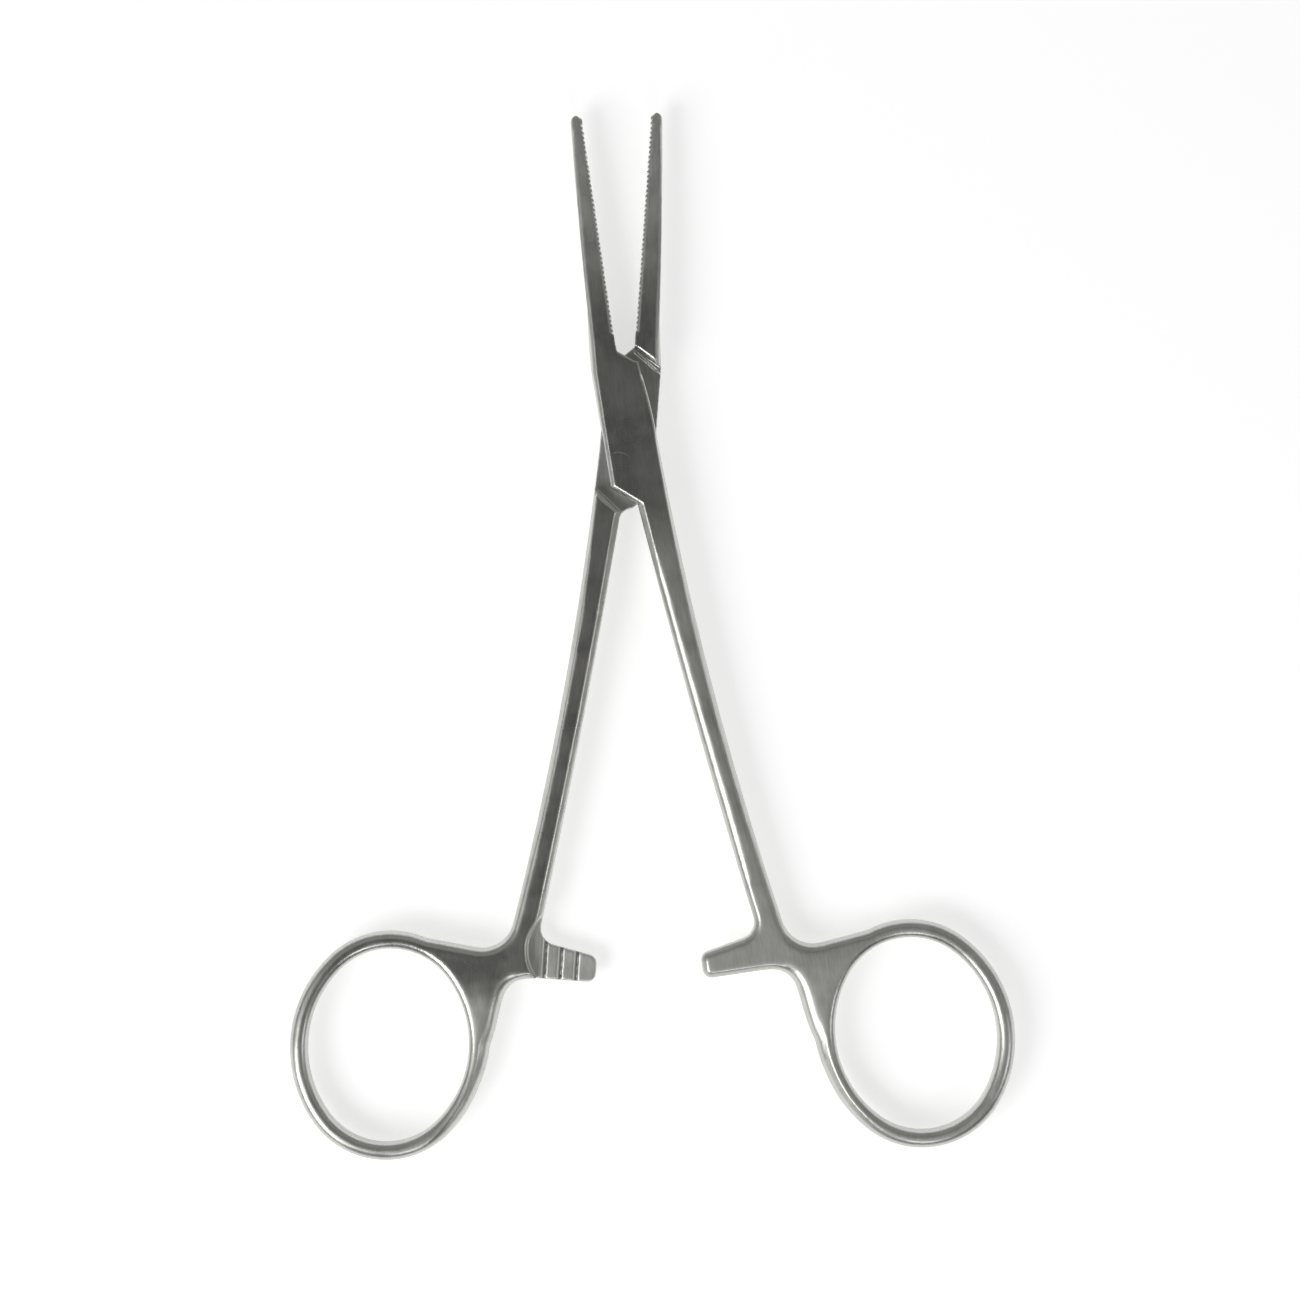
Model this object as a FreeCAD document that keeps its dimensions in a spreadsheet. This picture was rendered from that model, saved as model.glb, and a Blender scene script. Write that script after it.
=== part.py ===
import FreeCAD, Part
import math
import os
import Sketcher

# Hemostat forceps with a box lock, lying flat.
#
# Each half is drawn as it stands when the jaws are closed: the pivot axis is Z, the jaws point
# along +Y and both halves share the centre plane X = 0. A half is then lifted to stand on Z = 0
# and turned about the pivot by half of the opening that the forceps rest at.

SIZES = {
    # Pose
    "rest_opening": 12.4,
    # Jaw: lengths from the pivot, widths from the centre plane
    "jaw_length": 41.9,
    "jaw_root": 8.0,
    "jaw_width": 3.7,
    "jaw_bow": 700.0,
    "tip_width": 1.5,
    "tip_thickness": 2.4,
    "tip_round": 0.85,
    "jaw_bevel": 0.5,
    "bite_gap": 0.04,
    # Serrations across the biting faces
    "tooth_pitch": 0.64,
    "tooth_depth": 0.24,
    "tooth_start": 12.6,
    "tooth_land": 0.06,
    "tooth_end_margin": 0.6,
    # Box and waist
    "box_width": 3.6,
    "box_thickness": 5.6,
    "box_flat": 12.2,
    "box_side_bow": 71.0,
    "cheek_top_x": 2.6,
    "cheek_top_y": 8.6,
    "cheek_crown": 10.6,
    "cheek_heel_x": 3.3,
    "cheek_heel_y": 6.95,
    "cheek_toe_x": -0.2,
    "cheek_toe_y": 9.5,
    "slot_height": 2.0,
    "slot_radius": 11.3,
    "waist_clearance": 0.06,
    "waist_crown": 11.1,
    "waist_toe_x": 0.3,
    "waist_toe_y": 10.5,
    "waist_bend_x": 1.3,
    "waist_bend_y": 9.85,
    "waist_corner_y": 7.3,
    "shoulder_gap": 0.4,
    "shoulder_gap_outer": 0.8,
    "groove_width": 0.5,
    "groove_width_outer": 0.85,
    "groove_depth": 0.3,
    "heel_gap": 1.2,
    "end_bevel": 0.45,
    "crotch_round": 1.5,
    # Pivot pin
    "pin_radius": 1.6,
    "pin_fit": 0.01,
    "pin_clearance": 0.05,
    # Shank
    "shank_top": 2.0,
    "shank_thickness": 3.9,
    "shank_thin_from": 58.0,
    "shank_outer_x": 11.3,
    "shank_outer_bow": 473.0,
    "shank_inner_x": 7.2,
    "shank_inner_y": 67.25,
    "shank_inner_bow": 1100.0,
    "shank_bevel": 0.75,
    # Finger ring, on its centre line
    "ring_x": 25.75,
    "box_ring_y": 83.35,
    "tongue_ring_y": 82.25,
    "ring_half_width": 11.7,
    "ring_half_length": 13.85,
    "ring_end_radius": 10.4,
    "ring_wall": 2.3,
    "ring_thickness": 3.9,
    "ring_round": 0.95,
    "ring_seat": 4.0,
    "ring_root_drop": 0.75,
    "box_ring_tilt": 4.0,
    "tongue_ring_tilt": 1.0,
    # Web between shank, ring and ratchet bar
    "web_x": 10.6,
    "web_round": 3.6,
    "ring_root_round": 4.2,
    # Ratchet bar
    "bar_reach": 0.7,
    "bar_top_y": 68.85,
    "bar_low_y": 72.2,
    "bar_root_round": 2.2,
    "bar_tip_round": 1.2,
    "bar_gap": 0.12,
    "bar_relief_radius": 5.9,
    "bar_relief_x": 2.7,
    "bar_relief_y": 68.2,
    "ratchet_pitch": 2.1,
    "ratchet_depth": 0.5,
    "ratchet_width": 0.6,
    "ratchet_start": 1.7,
    "ratchet_count": 3,
}

# How near two coordinates have to be to count as the same, and how far a cut runs past a face
NEAR = 0.02
OVERCUT = 1.0

# How far the blank reaches into the ring's wall beside its centre line, as shares of the wall
RING_SINK = 0.4
RING_RISE = 0.2


class Size:
    """A length that knows both its number and the spreadsheet formula that gives it."""

    def __init__(self, value, text):
        self.value = value
        self.text = text

    def __add__(self, other):
        other = as_size(other)
        return Size(self.value + other.value, f"({self.text} + {other.text})")

    def __sub__(self, other):
        other = as_size(other)
        return Size(self.value - other.value, f"({self.text} - {other.text})")

    def __mul__(self, other):
        other = as_size(other)
        return Size(self.value * other.value, f"({self.text} * {other.text})")

    def __truediv__(self, other):
        other = as_size(other)
        return Size(self.value / other.value, f"({self.text} / {other.text})")

    def __neg__(self):
        return self * -1


def as_size(number):
    """A plain number as a Size, for sums that mix both."""
    if isinstance(number, Size):
        return number
    return Size(number, f"({number})")


def size(name):
    """The driving size of that name."""
    return Size(SIZES[name], f"Sizes.{name}")


def make_sheet(doc):
    """The spreadsheet that every feature reads."""
    sheet = doc.addObject("Spreadsheet::Sheet", "Sizes")
    for row, (name, value) in enumerate(SIZES.items(), start=1):
        sheet.set(f"A{row}", name)
        sheet.set(f"B{row}", str(value))
        sheet.setAlias(f"B{row}", name)
    doc.recompute()


def add_sketch(body, name, role, base=None, turn=None):
    """A sketch on one of the body's own origin planes, moved off it by base and turned in place by
    turn, an axis and an angle in degrees."""
    plane = next(f for f in body.Origin.OriginFeatures if f.Role == role)
    sketch = body.newObject("Sketcher::SketchObject", name)
    sketch.AttachmentSupport = [(plane, "")]
    sketch.MapMode = "FlatFace"
    for axis, place in (base or {}).items():
        sketch.setExpression(f"AttachmentOffset.Base.{axis}", place.text)
    if turn is not None:
        axis, angle = turn
        sketch.AttachmentOffset = FreeCAD.Placement(FreeCAD.Vector(), FreeCAD.Rotation(axis, 1))
        sketch.setExpression("AttachmentOffset.Rotation.Angle", angle.text)
    return sketch


def bind(sketch, constraint, bound):
    """Adds a constraint whose value follows the sheet."""
    index = sketch.addConstraint(constraint)
    sketch.setExpression(f"Constraints[{index}]", bound.text)


def arc_centre(start, end, radius):
    """Centre of the arc from start to end that bows to the left of its chord, or to the right
    where the radius is negative."""
    middle = (start + end) * 0.5
    chord = end - start
    reach = math.sqrt(radius ** 2 - (chord.Length / 2) ** 2)
    left = FreeCAD.Vector(-chord.y, chord.x, 0).normalize()
    return middle - left * math.copysign(reach, radius)


def add_outline(sketch, corners):
    """A closed outline through corners (x, y) or (x, y, bow). A bow is the radius of the arc that
    leads from that corner to the next one; it bulges left of the way there, or right if it is
    negative."""
    points = [FreeCAD.Vector(c[0].value, c[1].value, 0) for c in corners]
    sides = []
    for index, corner in enumerate(corners):
        start = points[index]
        end = points[(index + 1) % len(points)]
        if len(corner) == 2:
            sides.append((sketch.addGeometry(Part.LineSegment(start, end)), 1, 2))
            continue
        bow = corner[2]
        centre = arc_centre(start, end, bow.value)
        circle = Part.Circle(centre, FreeCAD.Vector(0, 0, 1), abs(bow.value))
        first, last = (end, start) if bow.value > 0 else (start, end)
        arc = Part.ArcOfCircle(circle, circle.parameter(first), circle.parameter(last))
        side = sketch.addGeometry(arc)
        sides.append((side, 2, 1) if bow.value > 0 else (side, 1, 2))
    for index, (side, first, last) in enumerate(sides):
        after, after_first, _ = sides[(index + 1) % len(sides)]
        sketch.addConstraint(Sketcher.Constraint("Coincident", side, last, after, after_first))
        corner = corners[index]
        for kind, place in (("DistanceX", corner[0]), ("DistanceY", corner[1])):
            bind(sketch, Sketcher.Constraint(kind, side, first, place.value), place)
        if len(corner) == 3:
            bow = corner[2] if corner[2].value > 0 else -corner[2]
            bind(sketch, Sketcher.Constraint("Radius", side, bow.value), bow)


def add_circle(sketch, x, y, radius):
    """A full circle with its centre and radius bound."""
    place = FreeCAD.Vector(x.value, y.value, 0)
    circle = sketch.addGeometry(Part.Circle(place, FreeCAD.Vector(0, 0, 1), radius.value))
    bind(sketch, Sketcher.Constraint("DistanceX", circle, 3, x.value), x)
    bind(sketch, Sketcher.Constraint("DistanceY", circle, 3, y.value), y)
    bind(sketch, Sketcher.Constraint("Radius", circle, radius.value), radius)


def add_oval(sketch):
    """The finger ring's centre line: four tangent arcs, two round the ends, two along the sides."""
    half_width, half_length = size("ring_half_width"), size("ring_half_length")
    end_radius = size("ring_end_radius")
    end_offset = half_length - end_radius
    squares = end_offset * end_offset + half_width * half_width - end_radius * end_radius
    side_radius = squares / ((half_width - end_radius) * 2)
    side_offset = side_radius - half_width
    turn = math.atan2(end_offset.value, side_offset.value)
    up = FreeCAD.Vector(0, 0, 1)
    spans = (
        (0, end_offset, end_radius, turn, math.pi - turn),
        (side_offset, 0, side_radius, math.pi - turn, math.pi + turn),
        (0, -end_offset, end_radius, math.pi + turn, 2 * math.pi - turn),
        (-side_offset, 0, side_radius, -turn, turn),
    )
    arcs = []
    for x, y, radius, first, last in spans:
        centre = FreeCAD.Vector(as_size(x).value, as_size(y).value, 0)
        circle = Part.Circle(centre, up, radius.value)
        arcs.append(sketch.addGeometry(Part.ArcOfCircle(circle, first, last)))
    for index, arc in enumerate(arcs):
        after = arcs[(index + 1) % len(arcs)]
        sketch.addConstraint(Sketcher.Constraint("Tangent", arc, 2, after, 1))
    for arc, (_, y, radius, _, _) in zip(arcs, spans):
        bind(sketch, Sketcher.Constraint("Radius", arc, radius.value), radius)
        if radius is end_radius:
            sketch.addConstraint(Sketcher.Constraint("PointOnObject", arc, 3, -2))
            bind(sketch, Sketcher.Constraint("DistanceY", arc, 3, y.value), y)


def add_feature(body, kind, name, sketch, length):
    """A Pad or Pocket of that length, half of it to each side of its sketch."""
    feature = body.newObject(f"PartDesign::{kind}", name)
    feature.Profile = sketch
    feature.SideType = "Symmetric"
    feature.Length = length.value
    feature.setExpression("Length", length.text)
    body.Document.recompute()
    return feature


def dress(body, kind, name, value, prefix, wanted):
    """A Fillet or Chamfer on the edges of the body's tip that pass the test."""
    base = body.Tip
    picked = [f"Edge{i}" for i, edge in enumerate(base.Shape.Edges, start=1) if wanted(edge)]
    if not picked:
        raise RuntimeError(f"{name} finds no edge")
    feature = body.newObject(f"PartDesign::{kind}", name)
    feature.Base = (base, picked)
    setattr(feature, prefix, value.value)
    feature.setExpression(prefix, value.text)
    body.Document.recompute()
    if "Invalid" in feature.State:
        raise RuntimeError(f"{body.Name}: {name} can't be made")


def upright_at(x, y):
    """A test for the edge that stands upright at (x, y)."""
    def test(edge):
        box = edge.BoundBox
        stands = box.XLength < NEAR and box.YLength < NEAR and box.ZLength > NEAR
        return stands and math.hypot(box.Center.x - x.value, box.Center.y - y.value) < NEAR
    return test


def forge_plan(body, hand, ring_y, waist, extra=()):
    """One half in plan at full thickness, without its ring, with its corners rounded. hand is 1
    where the shank lies on the +X side and -1 where it is mirrored. waist holds the corners
    between the jaw's side and the shank, and those between the shank and the biting face. extra
    names further corners to round."""
    def at(x, y, *bow):
        return (x * hand, y, *(radius * hand for radius in bow))

    tip_x, tip_y = -size("tip_width"), size("jaw_length")
    inner = size("shank_inner_x"), -size("shank_inner_y")
    ring_top = ring_y + size("ring_half_length")
    outer = size("shank_outer_x"), ring_top - size("ring_root_drop")
    bar_top = -size("bar_reach"), -size("bar_top_y")
    bar_low = -size("bar_reach"), -size("bar_low_y")
    web = size("web_x"), -size("bar_low_y")
    ring_left = size("ring_x") - size("ring_half_width")
    sink, rise = size("ring_wall") * RING_SINK, size("ring_wall") * RING_RISE
    corners = [
        (-size("bite_gap"), tip_y),
        (tip_x, tip_y, -size("jaw_bow")),
        *waist[0],
        inner, bar_top, bar_low, web,
        (ring_left - sink, ring_y),
        (ring_left + rise, ring_y),
        (size("ring_x"), ring_top),
        (size("ring_x") - size("ring_seat"), ring_top + rise),
        (*outer, size("shank_outer_bow")),
        *waist[1],
    ]
    sketch = add_sketch(body, "Plan", "XY_Plane")
    add_outline(sketch, [at(*corner) for corner in corners])
    add_feature(body, "Pad", "Blank", sketch, size("box_thickness"))
    rounded = (
        ("TipRounding", "tip_round", (tip_x, tip_y)),
        ("BarRoot", "bar_root_round", inner),
        ("BarTipTop", "bar_tip_round", bar_top),
        ("BarTipLow", "bar_tip_round", bar_low),
        ("WebCorner", "web_round", web),
        ("RingRoot", "ring_root_round", outer),
    )
    for name, radius, corner in rounded + extra:
        dress(body, "Fillet", name, size(radius), "Radius", upright_at(*at(*corner)))


def thin_blank(body):
    """Tapers the jaw and the shank above and below, leaving the box flat."""
    high, beyond = size("box_thickness") / 2, size("box_thickness")
    thin, tip = size("shank_thickness") / 2, size("tip_thickness") / 2
    flat, far = size("box_flat"), size("jaw_length") + OVERCUT
    end = -(size("box_ring_y") + size("ring_half_length") * 2)
    jaw = [(flat, high), (size("jaw_length"), tip), (far, tip), (far, beyond), (flat, beyond)]
    shank = [(-flat, high), (-flat, beyond), (end, beyond), (end, thin)]
    shank.append((-size("shank_thin_from"), thin))
    sketch = add_sketch(body, "SideView", "YZ_Plane")
    for outline in (jaw, shank):
        add_outline(sketch, outline)
        add_outline(sketch, [(y, -z) for y, z in outline])
    overall_width = (size("ring_x") + size("ring_half_width") + size("ring_wall")) * 2
    add_feature(body, "Pocket", "Taper", sketch, overall_width)


def is_rim(edge):
    """Whether an edge runs round the top or the underside of a blank, where a bevel belongs: not
    along the biting face, across the flats, at the ends of the cheeks or under the ring."""
    box, centre = edge.BoundBox, edge.CenterOfMass
    stands = abs(centre.z) < NEAR or box.ZLength > SIZES["box_thickness"] / 2
    bites = abs(centre.x) < SIZES["bite_gap"] + NEAR and box.XLength < NEAR
    crosses = box.YLength < NEAR
    ends_cheek = abs(centre.y) < SIZES["box_flat"] and box.XLength > box.YLength / 2
    under_ring = abs(centre.x) > SIZES["ring_x"] - SIZES["ring_half_width"]
    return not (stands or bites or crosses or ends_cheek or under_ring)


def bevel_blank(body, hand):
    """Bevels the shank broadly and the jaw less."""
    def is_jaw_rim(edge):
        centre = edge.CenterOfMass
        return is_rim(edge) and centre.x * hand < 0 and centre.y > -SIZES["waist_toe_y"]

    def is_shank_rim(edge):
        return is_rim(edge) and not is_jaw_rim(edge)

    dress(body, "Chamfer", "ShankBevel", size("shank_bevel"), "Size", is_shank_rim)
    dress(body, "Chamfer", "JawBevel", size("jaw_bevel"), "Size", is_jaw_rim)


def cut_both_ways(body, name, corners, length, outward):
    """A pocket from the waist's upper face, outward or into it, and its mirror image below."""
    sketch = add_sketch(body, f"{name}Plan", "XY_Plane",
                        {"z": size("slot_height") / 2 - size("waist_clearance")})
    add_outline(sketch, corners)
    cut = body.newObject("PartDesign::Pocket", name)
    cut.Profile = sketch
    cut.Reversed = outward
    cut.setExpression("Length", length.text)
    body.Document.recompute()
    under = body.newObject("PartDesign::Mirrored", f"{name}Under")
    under.Originals = [cut]
    plane = next(f for f in body.Origin.OriginFeatures if f.Role == "XY_Plane")
    under.MirrorPlane = (plane, [""])
    body.Tip = under
    body.Document.recompute()


def thin_waist(body):
    """Cuts the waist free above and below, between the shoulder under the jaw and the one over
    the shank. Both shoulders run along the ends of the cheeks that they close on, and a groove
    runs along the foot of the one under the jaw."""
    far, side = size("cheek_crown"), size("cheek_top_x")
    crown = size("cheek_crown") + size("shoulder_gap")
    shoulder_side = size("cheek_top_y") + size("shoulder_gap_outer")
    top_slope = (crown - shoulder_side) / side
    heel_run = size("cheek_heel_x") + size("cheek_toe_x")
    heel_slope = (size("cheek_toe_y") - size("cheek_heel_y")) / heel_run
    heel = -(size("cheek_heel_y") + size("heel_gap"))
    cut_both_ways(body, "WaistCut", [
        (-far, crown), (as_size(0), crown), (far, crown - top_slope * far),
        (far, heel - heel_slope * (far + size("cheek_heel_x"))),
        (-far, heel + heel_slope * (far - size("cheek_heel_x"))),
    ], size("box_thickness"), True)
    near_width = size("groove_width")
    rim_slope = top_slope + (size("groove_width_outer") - near_width) / side
    cut_both_ways(body, "ShoulderGroove", [
        (as_size(0), crown), (far, crown - top_slope * far),
        (far, crown - near_width - rim_slope * far), (as_size(0), crown - near_width),
    ], size("groove_depth"), False)


def bevel_ends(body, name):
    """Bevels the edges that run across the flats of the box, at the ends of its cheeks or on the
    shoulders that face them."""
    def crosses_flat(edge):
        box, centre = edge.BoundBox, edge.CenterOfMass
        flat = box.ZLength < NEAR and abs(abs(centre.z) - SIZES["box_thickness"] / 2) < NEAR
        long_enough = edge.Length > 2 * SIZES["end_bevel"]
        return flat and long_enough and box.XLength > box.YLength and box.YLength > NEAR

    dress(body, "Chamfer", name, size("end_bevel"), "Size", crosses_flat)


def add_ring(body, hand, ring):
    """The finger ring: the hole cleared up to the oval centre line, and a rounded section swept
    round that line. ring holds the ring's place along Y and its tilt."""
    ring_y, tilt = ring
    x = size("ring_x") * hand
    place = {"x": x, "y": ring_y}
    up, across = FreeCAD.Vector(0, 0, 1), FreeCAD.Vector(0, 1, 0)
    hole = add_sketch(body, "FingerHole", "XY_Plane", place, (up, tilt * hand))
    add_oval(hole)
    add_feature(body, "Pocket", "FingerHoleCut", hole, size("box_thickness"))
    path = add_sketch(body, "RingPath", "XY_Plane", place, (up, tilt * hand))
    add_oval(path)
    place = {"x": x, "z": -ring_y}
    section = add_sketch(body, "RingSection", "XZ_Plane", place, (across, tilt * hand))
    half_wall, high = size("ring_wall") / 2, size("ring_thickness") / 2
    rounding = size("ring_round")
    left, right = size("ring_half_width") - half_wall, size("ring_half_width") + half_wall
    add_outline(section, [
        (left, rounding - high), (left, high - rounding, rounding),
        (left + rounding, high), (right - rounding, high, rounding),
        (right, high - rounding), (right, rounding - high, rounding),
        (right - rounding, -high), (left + rounding, -high, rounding),
    ])
    body.Document.recompute()
    pipe = body.newObject("PartDesign::AdditivePipe", "Ring")
    pipe.Profile = section
    pipe.Spine = (path, [])
    body.Document.recompute()


def relieve_bar(body, hand, level):
    """Takes the ratchet bar down to half its thickness and cuts its teeth. level is 1 where the
    bar is the upper one, with its teeth underneath, and -1 where it is the lower one."""
    half_gap = size("bar_gap") / 2 * level
    sketch = add_sketch(body, "BarRelief", "XY_Plane", {"z": half_gap})
    add_circle(sketch, size("bar_relief_x") * hand, -size("bar_relief_y"), size("bar_relief_radius"))
    cut = body.newObject("PartDesign::Pocket", "BarReliefCut")
    cut.Profile = sketch
    cut.setExpression("Length", size("box_thickness").text)
    cut.Reversed = level < 0
    middle = (size("bar_top_y") + size("bar_low_y")) / 2
    teeth = add_sketch(body, "RatchetTeeth", "XZ_Plane", {"z": middle})
    for index in range(SIZES["ratchet_count"]):
        x = size("ratchet_start") + size("ratchet_pitch") * index
        deep = half_gap + size("ratchet_depth") * level
        clear = half_gap - size("ratchet_depth") * level
        notch = ((x, clear), (x, deep), (x + size("ratchet_width"), half_gap),
                 (x + size("ratchet_width"), clear))
        add_outline(teeth, [(place * hand, height) for place, height in notch])
    add_feature(body, "Pocket", "RatchetCut", teeth, size("bar_relief_radius") * 2)


def cut_serrations(body, hand, start):
    """The grooves across the biting face, from the box end to the tip."""
    pitch = size("tooth_pitch")
    face, root = -size("bite_gap"), -(size("bite_gap") + size("tooth_depth"))
    sketch = add_sketch(body, "Groove", "XY_Plane")
    land = size("tooth_land")
    groove = [(face, start + land / 2), (root, start + pitch / 2), (face, start + pitch - land / 2),
              (size("tooth_depth"), start + pitch - land / 2), (size("tooth_depth"), start + land / 2)]
    add_outline(sketch, [(x * hand, y) for x, y in groove])
    cut = add_feature(body, "Pocket", "GrooveCut", sketch, size("box_thickness"))
    row = body.newObject("PartDesign::LinearPattern", "Serrations")
    row.Originals = [cut]
    axis = next(f for f in body.Origin.OriginFeatures if f.Role == "Y_Axis")
    row.Direction = (axis, [""])
    run = size("jaw_length") - size("tooth_end_margin") - start
    row.setExpression("Occurrences", f"floor({(run / pitch).text})")
    row.setExpression("Length", f"(floor({(run / pitch).text}) - 1) * {pitch.text}")
    body.Tip = row
    body.Document.recompute()


def finish_half(body, turn):
    """Lifts a half onto Z = 0 and turns it to where it rests."""
    body.setExpression("Placement.Base.z", "Sizes.box_thickness / 2")
    body.setExpression("Placement.Rotation.Angle", f"Sizes.rest_opening / 2 * {turn}")


def drill_pivot(body, clearance):
    """The pivot's hole."""
    sketch = add_sketch(body, "PivotHole", "XY_Plane")
    add_circle(sketch, as_size(0), as_size(0), size("pin_radius") + size(clearance))
    add_feature(body, "Pocket", "PivotHoleCut", sketch, size("box_thickness"))


def build_box_half(doc):
    """The half that is slotted into a box between its two cheeks."""
    body = doc.addObject("PartDesign::Body", "box_half")
    ring_y = -size("box_ring_y")
    waist = (
        [(-size("jaw_width"), size("jaw_root")),
         (-size("cheek_heel_x"), -size("cheek_heel_y")),
         (size("cheek_toe_x"), -size("cheek_toe_y"), -size("shank_inner_bow"))],
        [(size("box_width"), -size("shank_top"), -size("box_side_bow")),
         (size("cheek_top_x"), size("cheek_top_y")),
         (-size("bite_gap"), size("cheek_crown"))],
    )
    forge_plan(body, 1, ring_y, waist)
    thin_blank(body)
    bevel_blank(body, 1)
    bevel_ends(body, "CheekBevel")
    add_ring(body, 1, (ring_y, size("box_ring_tilt")))
    slot = add_sketch(body, "Slot", "XY_Plane")
    add_circle(slot, as_size(0), as_size(0), size("slot_radius"))
    add_feature(body, "Pocket", "SlotCut", slot, size("slot_height"))
    drill_pivot(body, "pin_fit")
    relieve_bar(body, 1, 1)
    cut_serrations(body, 1, size("tooth_start"))
    finish_half(body, 1)
    return body


def build_tongue_half(doc):
    """The half whose thinned waist passes through the box."""
    body = doc.addObject("PartDesign::Body", "tongue_half")
    ring_y = -size("tongue_ring_y")
    width, corner = size("box_width"), size("waist_corner_y")
    bend_x, bend_y = size("waist_bend_x"), size("waist_bend_y")
    waist = (
        [(-size("jaw_width"), size("jaw_root")),
         (-width, -corner),
         (-bend_x, -bend_y),
         (size("waist_toe_x"), -size("waist_toe_y"), -size("shank_inner_bow"))],
        [(width, -size("shank_top")),
         (width, corner),
         (bend_x, bend_y),
         (-size("bite_gap"), size("waist_crown"))],
    )
    toe = size("waist_toe_x"), -size("waist_toe_y")
    forge_plan(body, -1, ring_y, waist, (("CrotchRounding", "crotch_round", toe),))
    thin_blank(body)
    bevel_blank(body, -1)
    add_ring(body, -1, (ring_y, size("tongue_ring_tilt")))
    thin_waist(body)
    bevel_ends(body, "ShoulderBevel")
    drill_pivot(body, "pin_clearance")
    relieve_bar(body, -1, -1)
    cut_serrations(body, -1, size("tooth_start") + size("tooth_pitch") / 2)
    finish_half(body, -1)
    return body


def build_pin(doc):
    """The pivot pin, ground flush with both cheeks."""
    pin = doc.addObject("Part::Cylinder", "pivot_pin")
    pin.setExpression("Radius", "Sizes.pin_radius")
    pin.setExpression("Height", "Sizes.box_thickness")
    return pin


def check(doc, pieces):
    """Stops unless every object recomputed and every piece is one valid solid."""
    for item in doc.Objects:
        if "Invalid" in item.State or "Error" in item.State:
            raise RuntimeError(f"{item.Name} failed: {item.State}")
    for piece in pieces:
        shape = piece.Shape
        if shape.isNull() or not shape.isValid() or len(shape.Solids) != 1:
            raise RuntimeError(f"{piece.Name} is not one valid solid")
        print(piece.Name, round(shape.Volume, 2), shape.BoundBox)


def main():
    doc = FreeCAD.newDocument("HemostatForceps")
    make_sheet(doc)
    pieces = [build_box_half(doc), build_tongue_half(doc), build_pin(doc)]
    doc.recompute()
    check(doc, pieces)
    os.makedirs("parts", exist_ok=True)
    for piece in pieces:
        piece.Shape.exportStep(f"parts/{piece.Label}.step")


main()
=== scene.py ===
import math

import bmesh
import bpy
import numpy as np
from mathutils import Matrix, Vector
from mathutils.kdtree import KDTree


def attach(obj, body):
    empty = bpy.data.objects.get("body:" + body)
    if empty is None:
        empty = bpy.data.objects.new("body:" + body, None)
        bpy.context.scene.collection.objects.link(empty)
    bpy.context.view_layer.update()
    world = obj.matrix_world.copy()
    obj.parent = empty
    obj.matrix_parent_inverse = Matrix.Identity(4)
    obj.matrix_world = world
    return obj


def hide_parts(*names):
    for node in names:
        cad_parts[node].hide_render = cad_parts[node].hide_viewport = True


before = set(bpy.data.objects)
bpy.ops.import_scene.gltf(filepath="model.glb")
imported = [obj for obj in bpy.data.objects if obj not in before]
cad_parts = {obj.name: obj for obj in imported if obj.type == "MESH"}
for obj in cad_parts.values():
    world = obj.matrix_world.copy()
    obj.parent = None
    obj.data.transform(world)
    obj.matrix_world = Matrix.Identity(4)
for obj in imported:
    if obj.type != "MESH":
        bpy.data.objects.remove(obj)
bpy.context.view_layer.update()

# The hemostat lies on a pale table and the camera looks straight down on it. Shapes are worked in
# millimetres and put in metres at the end.
MM = 0.001

# Camera: the picture's width on the object's plane, its centre and how far it is turned
VIEW_WIDTH = 170.2
VIEW_CENTRE = (1.72, -28.62)
VIEW_ROLL = -2.2
LENS = 100.0
SENSOR = 36.0

# How far each half is turned from closed at rest, in degrees, and the box's thickness
HALF_OPENING = 6.2
BOX_TOP = 5.6
MID_HEIGHT = BOX_TOP / 2

# Finger ring's centre and the ratchet bar's relief, on a half whose shank lies on the +X side
RING_X = 25.75
RING_Y = 82.8
RELIEF_X = 2.7
RELIEF_Y = 68.2
RELIEF_RADIUS = 5.9

# Pivot: the hole's radius, and the height of the slot's floor and roof
PIN_HOLE = 1.61
SLOT_LOW = 1.8
SLOT_HIGH = 3.8

# A scratch on the cheek: the centre and the radius of its arc, with the jaws closed
SCRATCH_X = -2.1
SCRATCH_Y = -4.75
SCRATCH_RADIUS = 2.2

# Half axes of the ring's hole, and the half thickness of the box and of the shank, with the
# places between which it goes from one to the other
HOLE_WIDE = 10.55
HOLE_LONG = 12.7
BOX_END = 12.2
THIN_FROM = 58.0
THIN_HALF = 1.95

# Jaw: its end, its half thickness there, the gap at the bite and the rounding of the tip's inner
# corner
JAW_END = 41.6
TIP_HALF = 1.2
BITE_GAP = 0.03
TIP_CORNER = 0.45

# Teeth: the first one's place on the box half, their pitch and depth, the bevel of the toothed
# edge and how much deeper the gaps are cut
TOOTH_START = 12.6
TOOTH_PITCH = 0.64
TOOTH_DEPTH = 0.24
TOOTH_BEVEL = 0.45
TOOTH_PUSH = 0.1

# How much of the tooth's foot is flat, where the teeth end before the jaw does, how far into the
# jaw they pull the skin along, and how steeply the toothed edge's bevel falls
TOOTH_LAND = 0.06
TOOTH_MARGIN = 0.6
TOOTH_REACH = 0.9
TOOTH_FALL = 0.8

# Where the jaw starts, and how long the tip's last stretch is and how far its top comes down there
JAW_START = 13
TIP_STRETCH = 1.3
TIP_DROP = 0.4

# Skin: its voxels, the triangles that a finished piece may have, the angle in degrees past which
# an edge stays sharp, and the places below which the faces go from crisp to soft
VOXEL = 0.12
PIECE_TRIANGLES = 180000
SHARP_ANGLE = 45
CRISP_END = (-19, -13)

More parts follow.
